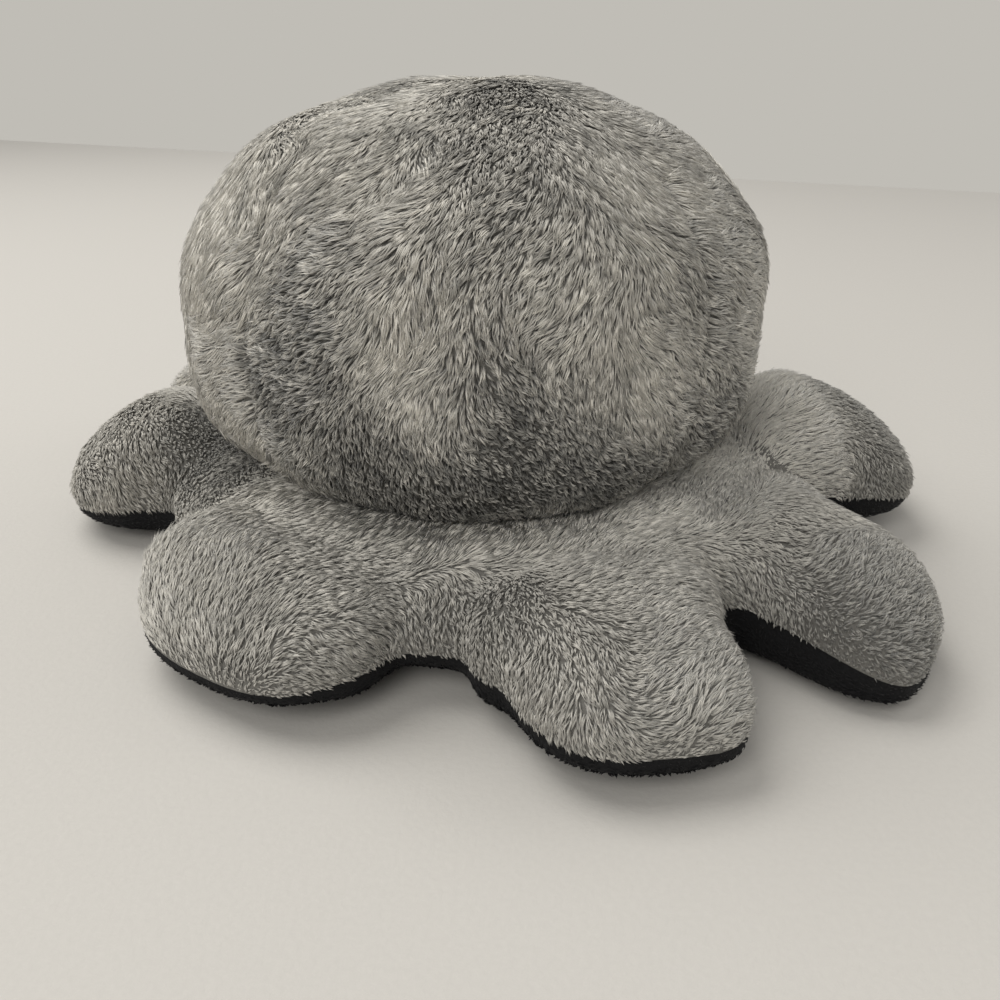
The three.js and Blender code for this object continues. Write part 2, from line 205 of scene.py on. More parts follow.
# Pile: locks of fibre, each a curved spike, whose ends draw together in tufts
LOCK_LEVELS = ((0, 1), (0.55, 0.85))  # share of the length, and of the width there
LOCK_RISE = 0.38
LOCK_REACH = 0.85
EARLY_REACH = 0.3  # share of the reach that grows evenly up the lock, and share that grows towards its tip
LATE_REACH = 0.7
LOCK_BACK = 0.6  # shares of the half width from a lock's middle to its back and to its belly
LOCK_BELLY = 0.3
LOCK_ROOT_DEPTH = 0.0003
STANDING_GAIN = 2  # how fast the pile stands up as it gets darker
STANDING_RISE = 0.9  # share by which a standing lock rises more and reaches less
STANDING_REACH = 0.8
FLATTEST = -0.55  # the least that the pile stands up
LIGHT_LENGTH = 0.6  # share by which a lock is longer as its tone is lighter by 1
PULL_POWER = 1.5  # how late a lock turns to the middle of its tuft
GATHER = 0.88  # share of the way to the middle of its tuft that a lock's end is drawn
TUFT_SIZE = 0.00105
TUFT_WARP = 0.0005
SPOT_SHARE = 0.4  # how the tone varies in spots of many tufts, as a share of how it does from tuft to tuft
FRINGE_REACH = 0.005  # from the edge seam, where the pile grows to its full length
FRINGE_SHARE = 0.5

# How locks vary one by one, and from tuft to tuft
LENGTH_RANGE = (0.8, 1.1)
WIDTH_RANGE = (0.7, 1.2)
CURL_SPREAD = 0.08
TONE_SPREAD = 0.06
TUFT_LENGTH_SPREAD = 0.12
TUFT_CURL_SPREAD = 0.16

# How the lie of the pile varies, in radians: in swirls, and lock by lock
SMALL_SWIRL = 0.3
FINE_SWIRL = 0.14
STRAY = 0.08

# Random fields: how many waves make one, the range of their lengths, and the middle length in each field
WAVE_COUNT = 20
WAVE_RANGE = (0.7, 1.5)
SMALL_SWIRL_WAVE = 0.012
FINE_SWIRL_WAVE = 0.0035
WIDE_SWIRL_WAVE = 0.05
PATCH_WAVE = 0.03
SPOT_WAVE = 0.006
TUFT_WAVE = 0.004

# Each kind of pile: its locks' length and half width, how many grow on a square metre, how their tone varies
# from tuft to tuft, and how much their lie swirls and strays
Lock = namedtuple("Lock", "length half_width density mottle swirl untidy")
HEAD_LOCK = Lock(0.0034, 0.00021, 4.4e6, mottle=0.15, swirl=1, untidy=0.8)
SKIRT_LOCK = Lock(0.003, 0.00018, 4.6e6, mottle=0.05, swirl=0.7, untidy=0.6)
BLACK_LOCK = Lock(0.0016, 0.0002, 2.6e6, mottle=0.05, swirl=0.4, untidy=1)
POCKET_LOCK = Lock(0.0016, 0.0003, 0.8e6, mottle=0.05, swirl=0.5, untidy=1)
HEAD_LEAN = 0.3  # how far outwards the head's pile points as it hangs down
SKIRT_DROP = 1.2  # how far down the skirt's pile points as it runs outwards
BLACK_DROP = 0.4
CROWN_LIE = 0.5  # how much flatter the pile lies at the crown than at the widest level

# Tones: 0 is the pile's middle tone, which is halfway across its UV map. Tones vary at random, and the
# combing guides add painted light and shade
HEAD_TONE = 0.08  # how much lighter the head's pile is
SKIRT_TONE = 0.05  # of the skirt's grey pile where no guide is near
HEAD_PATCHES = 0.14  # how the tone varies from patch to patch
SKIRT_PATCHES = 0.1
MIDDLE_TONE = 0.5
TONE_LIMITS = (0.02, 0.98)
TONE_WIDTH = 0.008  # across a lock
UV_MARGIN = 0.01  # below a lock's root and above its tip

# How the pile of the head was combed: a pixel of the photograph, across and down, the direction in which the
# tips point there, in degrees clockwise from rightwards, and how much lighter the pile looks there: painted
# light and shade, for the nap's sheen as it lies towards or away from the light, and for shade low on the
# head
HEAD_COMB = (
    (215, 200, 120, 0.25),
    (205, 270, 105, 0.3),
    (210, 330, 130, 0.3),
    (235, 300, 120, 0.15),
    (235, 430, 55, 0.3),
    (265, 465, 60, 0.2),
    (260, 150, 120, 0.2),
    (300, 110, 130, 0.1),
    (290, 170, 120, 0.05),
    (350, 150, 130, 0.0),
    (350, 190, 165, 0.1),
    (270, 230, 125, 0.2),
    (310, 215, 150, -0.15),
    (300, 260, 125, -0.15),
    (290, 290, 170, -0.25),
    (340, 240, 130, -0.15),
    (270, 345, 180, -0.35),
    (270, 395, 200, -0.5),
    (300, 430, 80, -0.05),
    (335, 385, 140, -0.05),
    (320, 335, 150, -0.3),
    (380, 225, 175, -0.05),
    (390, 175, 120, 0.25),
    (420, 200, 130, 0.1),
    (370, 280, 115, 0.1),
    (400, 320, 97, 0.45),
    (420, 385, 122, 0.5),
    (360, 440, 60, -0.3),
    (430, 440, 100, 0.1),
    (440, 265, 105, 0.1),
    (470, 350, 80, -0.2),
    (500, 330, 78, 0.0),
    (500, 400, 0, -0.35),
    (400, 110, 150, 0.05),
    (440, 90, 140, 0.05),
    (510, 92, 110, -0.35),
    (440, 140, 110, -0.15),
    (500, 180, 90, -0.15),
    (520, 150, 95, -0.15),
    (560, 110, 60, 0.0),
    (490, 230, 130, -0.15),
    (560, 215, 150, -0.05),
    (580, 160, 45, 0.0),
    (620, 165, 60, 0.2),
    (650, 115, 10, 0.05),
    (600, 200, 50, 0.1),
    (650, 220, 25, 0.1),
    (655, 255, 35, 0.1),
    (700, 195, 15, 0.2),
    (720, 250, 15, 0.0),
    (745, 300, 25, 0.05),
    (762, 310, 60, 0.2),
    (600, 240, 110, 0.05),
    (565, 275, 165, 0.05),
    (565, 315, 150, 0.1),
    (600, 345, 105, 0.15),
    (625, 265, 85, 0.1),
    (630, 300, 82, 0.25),
    (655, 335, 45, 0.35),
    (685, 340, 12, 0.1),
    (690, 295, 90, -0.35),
    (585, 370, 90, 0.1),
    (640, 385, 28, 0.5),
    (680, 370, 5, 0.25),
    (700, 395, 85, -0.05),
    (665, 408, 42, 0.35),
    (595, 410, 120, -0.2),
    # Painted shade along the head's lower band, which faces down towards the skirt
    (560, 450, 0, -0.4),
    (470, 480, 0, -0.45),
    (640, 465, 0, -0.4),
    (380, 480, 20, -0.4),
    (715, 425, 60, -0.25),
)

# How the pile of the skirt was combed, in the same way, with its lightness painted light and shade too
SKIRT_COMB = (
    (190, 570, -60, 0.05),
    (210, 610, -60, 0.0),
    (215, 545, -48, 0.05),
    (225, 655, -50, -0.1),
    (245, 515, -28, 0.2),
    (245, 620, -50, -0.05),
    (250, 560, -30, 0.05),
    (270, 685, -40, 0.0),
    (290, 530, -20, 0.15),
    (290, 610, -15, 0.05),
    (300, 570, -12, 0.05),
    (300, 650, 5, 0.0),
    (325, 622, 35, 0.0),
    (335, 600, 0, 0.05),
    (340, 530, -32, 0.2),
    (340, 682, -10, 0.05),
    (345, 655, 8, 0.0),
    (350, 575, -8, 0.1),
    (370, 620, 18, 0.05),
    (385, 545, -40, 0.15),
    (400, 640, 40, -0.05),
    # Painted light on the collar right under the head, where the head keeps the light off it
    (300, 510, -20, 0.5),
    (380, 532, -35, 0.5),
    (450, 548, -60, 0.55),
    (520, 552, -70, 0.55),
    (590, 545, -60, 0.55),
    (650, 525, -40, 0.5),
    # Painted shade in the hollow between tentacle 1 and the head
    (215, 455, 120, -0.3),
    (240, 478, 120, -0.2),
    (415, 610, 95, -0.2),
    (500, 600, 60, -0.1),
    (565, 670, 90, 0.0),
    (575, 720, 42, 0.0),
    (590, 580, -30, 0.1),
    (640, 600, 0, 0.1),
    (640, 560, -10, 0.2),
    (690, 670, -50, 0.0),
    (690, 732, -28, 0.05),
    (715, 570, 30, 0.1),
    (700, 490, -50, 0.3),
    (745, 475, -85, 0.35),
    (715, 515, -80, 0.0),
    # Painted shade on tentacle 4, on the side away from the lamps
    (750, 585, 50, -0.15),
    (835, 625, 30, -0.45),
    (870, 570, -60, -0.2),
    (905, 620, -30, -0.3),
    (890, 660, 60, -0.3),
    (785, 450, -50, 0.25),
    (800, 520, 45, 0.05),
    (850, 440, 30, -0.2),
    (840, 400, 0, -0.35),
    (100, 460, 120, 0.1),
    (130, 440, 120, 0.1),
    (150, 490, 100, 0.0),
)
GUIDE_HEIGHT = 0.021  # over the floor, where a guide of the skirt lies
GUIDE_TILT = 0.5  # outward lean of the surface there
COMB_REACH = 0.0085
COMB_REST = 0.06  # weight of the pile's own lie where no guide is near

# Colours, in linear light
GREY_TIP = (0.62, 0.60, 0.55)
BLACK_TIP = (0.011, 0.011, 0.012)
DARK_TONE = (0.25, 0.255, 0.26)  # share of the tip's colour in the darkest pile, and in the lightest
LIGHT_TONE = (1.6, 1.59, 1.58)
# The grey cloth's shares are low as painted shade, for the cloth seen in the gaps between the locks
GREY_CLOTH_SHARES = (0.22, 0.32)  # of the tip's colour, in the dark specks and in the light ones
BLACK_CLOTH_SHARES = (0.5, 0.9)
GREY_THREAD_COLORS = ((0.16, 0.155, 0.14), (0.24, 0.23, 0.21))
BLACK_THREAD_COLORS = ((0.006, 0.006, 0.007), (0.012, 0.012, 0.013))
FLOOR_COLOR = (0.60, 0.58, 0.545)
FLOOR_SHARES = (0.98, 1)
BACKDROP_COLOR = (0.527, 0.509, 0.468)
LIGHT_COLOR = (1.0, 0.985, 0.955)

# Finishes: specks per metre, depth of the bumps and roughness, and what all or some surfaces share
CLOTH_FINISH = {"scale": 1800, "bump_height": 0.0002, "roughness": 0.95}
THREAD_FINISH = {"scale": 2500, "bump_height": 0.0001, "roughness": 0.7}
FLOOR_FINISH = {"scale": 900, "bump_height": 0.00008, "roughness": 0.9}
SPECK_DETAIL = 3
SPECK_RANGE = (0.35, 0.65)  # of the noise, from the dark colour to the light one
SHEEN_ROUGHNESS = 0.4
SPECULAR_LEVEL = 0.25
PILE_ROUGHNESS = 0.85  # where root and tip aren't told apart
ROOT_ROUGHNESS = 0.95
TIP_ROUGHNESS = 0.78
# The painted shade at a lock's root has faded out at this share of its length
LIT_HEIGHT = 0.8  # share of a lock's length where it gets its full tone

# Light and floor
WORLD_STRENGTH = 0.32
LAMP_AIM = (0, 0, 0.04)
LAMPS = {  # place, diameter and power in watts
    "ceiling_light": ((-0.45, 0.25, 0.95), 0.9, 8.1),
    "window_light": ((-0.35, -0.9, 0.8), 0.8, 5.6),
    "fill_light": ((0.9, 0.3, 0.5), 0.8, 1.6),
}
FLOOR_REACH = 1.6  # half the side of the floor

# The directions rightwards, downwards and forwards of the camera
SINE, COSINE = math.sin(math.radians(CAMERA_DOWN)), math.cos(math.radians(CAMERA_DOWN))
CAMERA_AXES = np.array(((1, 0, 0), (0, -SINE, -COSINE), (0, COSINE, -SINE)))
UP = np.array((0, 0, 1))


def unit(vectors):
    return vectors / np.maximum(np.linalg.norm(vectors, axis=-1, keepdims=True), SHORTEST)


def mix(a, b, share):
    return a + (b - a) * share


def smooth(share):
    share = np.clip(share, 0, 1)
    return share * share * (3 - 2 * share)


def around(radius, azimuth, height):
    across, ahead = radius * np.sin(azimuth), -radius * np.cos(azimuth)
    return np.stack(np.broadcast_arrays(across, ahead, height), axis=-1)


def azimuth_of(points):
    return np.arctan2(points[..., 0], -points[..., 1])


def on_floor(points):
    return points * np.array((1, 1, 0))


def outward_of(points):
    return unit(on_floor(points))


def ray_through(pixel):
    """The direction in which the camera sees a pixel, one long along the camera's axis."""
    offset = (np.array(pixel) - IMAGE_SIDE / 2) / FOCAL_PIXELS
    return np.array((*offset, 1)) @ CAMERA_AXES


def seen_at_height(pixel, height):
    ray = ray_through(pixel)
    return np.array(CAMERA_PLACE) + ray * (height - CAMERA_PLACE[2]) / ray[2]


def drift(place, direction):
    """How a small step from a place moves it in the picture: rightwards and downwards."""
    offset = CAMERA_AXES @ (place - CAMERA_PLACE)
    step = CAMERA_AXES @ direction
    return (step[:2] - offset[:2] * step[2] / offset[2]) / offset[2]


def comb_angle(place, normal, flow, direction):
    """The angle from a flow, towards growing azimuth, that points in a direction of the picture."""
    axes = np.column_stack([drift(place, flow), drift(place, np.cross(normal, flow))])
    ahead, beside = np.linalg.solve(axes, (math.cos(direction), math.sin(direction)))
    return math.atan2(beside, ahead)


def waves(wavelength):
    """A smooth random field, as a function of points, with a spread of about 1."""
    directions = unit(rng.normal(size=(WAVE_COUNT, 3)))
    numbers = directions * (2 * np.pi / (wavelength * rng.uniform(*WAVE_RANGE, (WAVE_COUNT, 1))))
    phases = rng.uniform(0, 2 * np.pi, WAVE_COUNT)
    return lambda points: np.sin(points @ numbers.T + phases).sum(axis=-1) * math.sqrt(2 / WAVE_COUNT)


small_swirls = waves(SMALL_SWIRL_WAVE)
fine_swirls = waves(FINE_SWIRL_WAVE)
wide_swirls = waves(WIDE_SWIRL_WAVE)
wide_tones = waves(PATCH_WAVE)
small_tones = waves(SPOT_WAVE)
tuft_warps = [waves(TUFT_WAVE) for _ in range(3)]
head_lumps = waves(LUMP_WAVE)


def add_piece(name, points, faces, material):
    """An object of triangles or quads from arrays of points and of the points' numbers."""
    mesh = bpy.data.meshes.new(name)
    mesh.vertices.add(len(points))
    mesh.vertices.foreach_set("co", points.astype(np.float32).ravel())
    mesh.loops.add(faces.size)
    mesh.loops.foreach_set("vertex_index", faces.astype(np.int32).ravel())
    mesh.polygons.add(len(faces))
    mesh.polygons.foreach_set("loop_start", np.arange(0, faces.size, faces.shape[1], dtype=np.int32))
    mesh.update(calc_edges=True)
    mesh.shade_smooth()
    mesh.materials.append(material)
    piece = bpy.data.objects.new(name, mesh)
    bpy.context.scene.collection.objects.link(piece)
    return piece


def grid_faces(rows, columns):
    first = (np.arange(rows - 1)[:, None] * columns + np.arange(columns - 1)).ravel()
    return np.stack([first, first + 1, first + columns + 1, first + columns], axis=1)


def ring_faces(rows, columns):
    """The faces of a grid whose last column joins its first."""
    row, column = np.meshgrid(np.arange(rows - 1), np.arange(columns), indexing="ij")
    beside = (column + 1) % columns
    corners = (row * columns + column, row * columns + beside, (row + 1) * columns + beside)
    return np.stack([corner.ravel() for corner in (*corners, (row + 1) * columns + column)], axis=1)


# Materials
def new_material(name, roughness, sheen):
    material = bpy.data.materials.new(name)
    material.use_nodes = True
    shader = material.node_tree.nodes["Principled BSDF"]
    shader.inputs["Roughness"].default_value = roughness
    shader.inputs["Sheen Weight"].default_value = sheen
    shader.inputs["Sheen Roughness"].default_value = SHEEN_ROUGHNESS
    shader.inputs["Specular IOR Level"].default_value = SPECULAR_LEVEL
    return material, shader


def add_node(material, kind, settings=(), values=()):
    node = material.node_tree.nodes.new(kind)
    for key, value in dict(settings).items():
        setattr(node, key, value)
    for key, value in dict(values).items():
        node.inputs[key].default_value = value
    return node


def pile_material(name, tip, root_shade_share, sheen):
    """Locks with painted shade at the root and their tone at the tip. The pile's UV map gives tone across and
    height up.
    """
    material, shader = new_material(name, PILE_ROUGHNESS, sheen)
    link = material.node_tree.links.new
    lie = add_node(material, "ShaderNodeUVMap", {"uv_map": "Pile"})
    split = add_node(material, "ShaderNodeSeparateXYZ")
    link(lie.outputs["UV"], split.inputs["Vector"])
    tones = add_node(material, "ShaderNodeMix", {"data_type": "RGBA"})
    for socket, tone in (("A", DARK_TONE), ("B", LIGHT_TONE)):
        tones.inputs[socket].default_value = (*(channel * share for channel, share in zip(tip, tone)), 1)
    link(split.outputs["X"], tones.inputs["Factor"])
    # Painted shade: the colour darkens from its full tone to a share of it at the lock's root
    root_shade_ramp = add_node(material, "ShaderNodeMapRange", values={"From Max": LIT_HEIGHT, "To Min": root_shade_share})
    link(split.outputs["Y"], root_shade_ramp.inputs["Value"])
    scale = add_node(material, "ShaderNodeVectorMath", {"operation": "SCALE"})
    link(tones.outputs["Result"], scale.inputs["Vector"])
    link(root_shade_ramp.outputs["Result"], scale.inputs["Scale"])
    link(scale.outputs["Vector"], shader.inputs["Base Color"])
    roughnesses = {"To Min": ROOT_ROUGHNESS, "To Max": TIP_ROUGHNESS}
    rough = add_node(material, "ShaderNodeMapRange", values=roughnesses)
    link(split.outputs["Y"], rough.inputs["Value"])
    link(rough.outputs["Result"], shader.inputs["Roughness"])
    return material


def noise_material(name, colors, sheen, scale, bump_height, roughness):
    """A cloth or thread with specks from a dark colour to a light one, and bumps to match."""
    material, shader = new_material(name, roughness, sheen)
    link = material.node_tree.links.new
    place = add_node(material, "ShaderNodeTexCoord")
    noise = add_node(material, "ShaderNodeTexNoise", values={"Scale": scale, "Detail": SPECK_DETAIL})
    link(place.outputs["Object"], noise.inputs["Vector"])
    ramp = add_node(material, "ShaderNodeValToRGB")
    for element, color, position in zip(ramp.color_ramp.elements, colors, SPECK_RANGE):
        element.color = (*color, 1)
        element.position = position
    link(noise.outputs["Fac"], ramp.inputs["Fac"])
    link(ramp.outputs["Color"], shader.inputs["Base Color"])
    bump = add_node(material, "ShaderNodeBump", values={"Distance": bump_height})
    link(noise.outputs["Fac"], bump.inputs["Height"])
    link(bump.outputs["Normal"], shader.inputs["Normal"])
    return material


def shades(color, shares):
    return [tuple(channel * share for channel in color) for share in shares]


# The shares at the root are painted shade in the pile, deepest on the head
head_pile = pile_material("head_pile", GREY_TIP, root_shade_share=0.14, sheen=0.3)
grey_pile = pile_material("grey_pile", GREY_TIP, root_shade_share=0.55, sheen=0.35)
black_pile = pile_material("black_pile", BLACK_TIP, root_shade_share=0.4, sheen=0.06)
grey_cloth = noise_material("grey_cloth", shades(GREY_TIP, GREY_CLOTH_SHARES), sheen=0.1, **CLOTH_FINISH)
black_cloth = noise_material("black_cloth", shades(BLACK_TIP, BLACK_CLOTH_SHARES), sheen=0.02, **CLOTH_FINISH)
grey_thread = noise_material("grey_thread", GREY_THREAD_COLORS, sheen=0.2, **THREAD_FINISH)
black_thread = noise_material("black_thread", BLACK_THREAD_COLORS, sheen=0.05, **THREAD_FINISH)
floor_cloth = noise_material("floor_cloth", shades(FLOOR_COLOR, FLOOR_SHARES), sheen=0, **FLOOR_FINISH)


# Pile
def mesh_arrays(mesh):
    """The numbers of each triangle's points, and the points' places and normals."""
    mesh.calc_loop_triangles()
    index = np.empty(len(mesh.loop_triangles) * 3, np.int32)
    mesh.loop_triangles.foreach_get("vertices", index)
    places = np.empty(len(mesh.vertices) * 3, np.float32)
    mesh.vertices.foreach_get("co", places)
    normals = np.empty(len(mesh.vertices) * 3, np.float32)
    mesh.vertex_normals.foreach_get("vector", normals)
    return index.reshape(-1, 3), places.reshape(-1, 3), normals.reshape(-1, 3)


def triangles_of(mesh):
    """Each triangle's corners and their normals, as arrays of triangle, corner and axis."""
    index, places, normals = mesh_arrays(mesh)
    return places[index].astype(float), normals[index].astype(float)


def scatter(corners, normals, density):
    """Points spread evenly over triangles, with their normals."""
    sides = np.cross(corners[:, 1] - corners[:, 0], corners[:, 2] - corners[:, 0])
    areas = np.linalg.norm(sides, axis=1) / 2
    counts = np.floor(areas * density + rng.random(len(areas))).astype(int)
    chosen = np.repeat(np.arange(len(areas)), counts)
    share = np.sqrt(rng.random(len(chosen)))
    other = rng.random(len(chosen))
    weights = np.stack([1 - share, share * (1 - other), share * other], axis=1)[:, :, None]
    return (corners[chosen] * weights).sum(axis=1), unit((normals[chosen] * weights).sum(axis=1))


def tufts_of(points):
    """The number of the tuft that each point belongs to: a cell of a grid bent out of its straight rows."""
    bent = points + TUFT_WARP * np.stack([warp(points) for warp in tuft_warps], axis=1)
    cells = np.floor(bent / TUFT_SIZE).astype(int)
    return np.unique(cells, axis=0, return_inverse=True)[1].ravel()


def middles_of(tufts, points):
    """The middle of each point's tuft."""
    sums = np.stack([np.bincount(tufts, column) for column in points.T], axis=1)
    return (sums / np.bincount(tufts)[:, None])[tufts]


def lock_points(roots, normals, flows, lengths, half_widths, curls, standing, pulls):
    """The points of each lock: three at each level, and its tip."""
    sides = np.cross(normals, flows)
    full_rise = LOCK_RISE * (1 + STANDING_RISE * standing)
    full_reach = LOCK_REACH * (1 - STANDING_REACH * standing)

    def centre(t):
        rise = full_rise * (1 - (1 - t) ** 2)
        reach = full_reach * (EARLY_REACH * t + LATE_REACH * t ** 2)
        return (
            roots
            + normals * (rise * lengths - LOCK_ROOT_DEPTH)
            + flows * (reach * lengths)
            + sides * (curls * t ** 2 * lengths)
            + pulls * t ** PULL_POWER
        )

    points = []
    for t, width_share in LOCK_LEVELS:
        width = half_widths * width_share
        points.append(centre(t) + normals * width * LOCK_BACK)
        points.append(centre(t) + sides * width - normals * width * LOCK_BELLY)
        points.append(centre(t) - sides * width - normals * width * LOCK_BELLY)
    points.append(centre(1))
    return np.stack(points, axis=1)


def lock_faces():
    """The triangles of one lock, wound outwards."""
    faces = []
    last = len(LOCK_LEVELS) - 1
    for level in range(last):
        for side in range(3):
            low, beside = level * 3 + side, level * 3 + (side + 1) % 3
            faces += [(low, beside, beside + 3), (low, beside + 3, low + 3)]
    tip = (last + 1) * 3
    for side in range(3):
        faces.append((last * 3 + side, last * 3 + (side + 1) % 3, tip))
    return np.array(faces)


def standing_of(tones, lie=0):
    """How much the pile stands up: dark pile does, and light pile lies flat."""
    return np.clip(-STANDING_GAIN * tones - lie, FLATTEST, 1)


def add_pile_maps(piece, faces, tones):
    """UV maps that hold each lock's tone, across, and the height up the lock."""
    heights = np.array([t for t, _ in LOCK_LEVELS for _ in range(3)] + [1.0])
    across = np.array([0, 1, -1] * len(LOCK_LEVELS) + [0]) * TONE_WIDTH
    u = np.clip(tones, *TONE_LIMITS)[:, None] + across
    v = np.broadcast_to(UV_MARGIN + (1 - 2 * UV_MARGIN) * heights, u.shape)
    uv = np.stack([u, v], axis=-1).reshape(-1, 2)[faces.ravel()]
    for map_name in ("Pile", "OFBake"):
        layer = piece.data.uv_layers.new(name=map_name)
        layer.data.foreach_set("uv", uv.astype(np.float32).ravel())


def lay_pile(name, roots, normals, flows, tones, standing, lock, material, slot, shares=1):
    """One piece of pile: a lock at each root."""
    count = len(roots)
    tufts = tufts_of(roots)
    alike = rng.normal(size=(tufts.max() + 1, 3))[tufts]
    lengths = lock.length * (rng.uniform(*LENGTH_RANGE, (count, 1)) + TUFT_LENGTH_SPREAD * alike[:, :1])
    lengths *= (shares * (1 + LIGHT_LENGTH * tones))[:, None]
    half_widths = lock.half_width * rng.uniform(*WIDTH_RANGE, (count, 1))
    curls = rng.normal(0, CURL_SPREAD, (count, 1)) + TUFT_CURL_SPREAD * alike[:, 1:2]
    pulls = (middles_of(tufts, roots) - roots) * GATHER
    points = lock_points(roots, normals, flows, lengths, half_widths, curls, standing[:, None], pulls)
    points[..., 2] = np.maximum(points[..., 2], FLOOR_GAP)
    mottle = lock.mottle * (alike[:, 2] + SPOT_SHARE * small_tones(roots)) + rng.normal(0, TONE_SPREAD, count)
    starts = np.arange(count)[:, None, None] * points.shape[1]
    faces = (lock_faces()[None] + starts).reshape(-1, 3)
    piece = add_piece(name, points.reshape(-1, 3), faces, material)
    add_pile_maps(piece, faces, MIDDLE_TONE + tones + mottle)
    return piece


def comb(points, guides, own_angle, own_tone):
    """The pile's comb angle and tone at each point, from the guides near it and its own lie elsewhere; the
    guides' tones are painted light and shade.
    """
    real = np.cos(own_angle) * COMB_REST
    imaginary = np.sin(own_angle) * COMB_REST
    tone = own_tone * COMB_REST
    total = np.full(len(points), COMB_REST)
    for place, angle, painted_lightness in guides:
        weight = np.exp(-(np.linalg.norm(points - place, axis=1) / COMB_REACH) ** 2)
        real += weight * math.cos(angle)
        imaginary += weight * math.sin(angle)
        tone += weight * painted_lightness
        total += weight
    return np.arctan2(imaginary, real), tone / total


def turned(flows, normals, angles):
    """Flows turned about the normals, from downwards or outwards towards growing azimuth."""
    angles = angles[:, None]
    return flows * np.cos(angles) + np.cross(normals, flows) * np.sin(angles)


def along_surface(directions, normals):
    return unit(directions - normals * (directions * normals).sum(axis=1, keepdims=True))


def untidy(angles, points, amount):
    swirls = SMALL_SWIRL * small_swirls(points) + FINE_SWIRL * fine_swirls(points)
    return angles + amount * (swirls + rng.normal(0, STRAY, len(points)))


# Head
GORE_ANGLE = 2 * math.pi / GORE_COUNT
NECK_LATITUDE = -math.acos((NECK_RADIUS / HEAD_RADIUS) ** (1 / LOWER_HEAD_POWER))
HEAD_CENTRE = SKIRT_HEIGHT + PIECE_GAP + HEAD_HALF_HEIGHT * (-math.sin(NECK_LATITUDE)) ** LOWER_HEAD_POWER


def head_points(azimuth, latitude):
    """Points on the cloth of the head, a little inside the part's solid, for the pile to fill the rest."""
    power = np.where(latitude > 0, UPPER_HEAD_POWER, LOWER_HEAD_POWER)
    inset = mix(HEAD_CLOTH_DEPTH, NECK_CLOTH_DEPTH, smooth(latitude / NECK_LATITUDE))
    radius = (HEAD_RADIUS - inset) * np.cos(latitude) ** power
    rise = np.sign(latitude) * np.abs(np.sin(latitude)) ** power
    height = HEAD_CENTRE + (HEAD_HALF_HEIGHT - inset) * rise
    off_seam = np.mod(azimuth + GORE_ANGLE / 2, GORE_ANGLE)
    to_seam = np.minimum(off_seam, GORE_ANGLE - off_seam) * radius
    crease = CREASE_DEPTH * np.exp(-((to_seam / CREASE_REACH) ** 2))
    dip = SEAM_DIP * np.exp(-((to_seam / SEAM_REACH) ** 2)) + crease
    height = height - CROWN_DIMPLE * np.exp(-((radius / CROWN_REACH) ** 2))
    points = around(radius - dip * np.cos(latitude), azimuth, height)
    away = unit(points - HEAD_CENTRE * UP)
    swell = head_lumps(points) * LUMP_DEPTH
    for bulge_azimuth, share, reach, depth in BULGES:
        middle = around(HEAD_RADIUS, math.radians(bulge_azimuth), HEAD_CENTRE + HEAD_HALF_HEIGHT * share)
        swell = swell + depth * np.exp(-(np.linalg.norm(points - middle, axis=-1) / reach) ** 2)
    return points + away * swell[..., None]


def turn_about_z(angle):
    sine, cosine = math.sin(angle), math.cos(angle)
    return np.array(((cosine, -sine, 0), (sine, cosine, 0), (0, 0, 1)))


def gore_columns(index):
    shares = np.linspace(0, 1, GORE_COLUMNS)
    crowded = mix(shares, 0.5 - np.cos(shares * np.pi) / 2, COLUMN_WARP)
    return index * GORE_ANGLE + (crowded - 0.5) * GORE_ANGLE


def seen_on_head(pixel):
    """Where the camera sees the head at a pixel, stepping along the ray until it is inside."""
    points = CAMERA_PLACE + np.arange(*HEAD_DISTANCES, HEAD_STEP)[:, None] * ray_through(pixel)
    rise = points[:, 2] - HEAD_CENTRE
    power = 2 / np.where(rise > 0, UPPER_HEAD_POWER, LOWER_HEAD_POWER)
    reach = np.hypot(points[:, 0], points[:, 1]) / HEAD_RADIUS
    return points[np.argmax(reach ** power + np.abs(rise / HEAD_HALF_HEIGHT) ** power < 1)]


def head_flows(points, normals):
    """Down the head, and a little outwards."""
    return along_surface(HEAD_LEAN * outward_of(points) - UP, normals)


def head_guides():
    guides = []
    axes = np.array((HEAD_RADIUS, HEAD_RADIUS, HEAD_HALF_HEIGHT))
    for across, down, direction, painted_lightness in HEAD_COMB:
        place = seen_on_head((across, down))
        normal = unit((place - HEAD_CENTRE * UP) / axes ** 2)
        flow = head_flows(place[None], normal[None])[0]
        guides.append((place, comb_angle(place, normal, flow, math.radians(direction)), painted_lightness))
    return guides


def head_lie(roots, normals, guides):
    """The flows and tones of the head's pile, and how much it stands up."""
    own_angles = HEAD_LOCK.swirl * wide_swirls(roots)
    angles, tones = comb(roots, guides, own_angles, HEAD_PATCHES * wide_tones(roots))
    flows = turned(head_flows(roots, normals), normals, untidy(angles, roots, HEAD_LOCK.untidy))
    up_head = smooth((roots[:, 2] - HEAD_CENTRE) / HEAD_HALF_HEIGHT)
    return flows, tones + HEAD_TONE, standing_of(tones, CROWN_LIE * up_head)


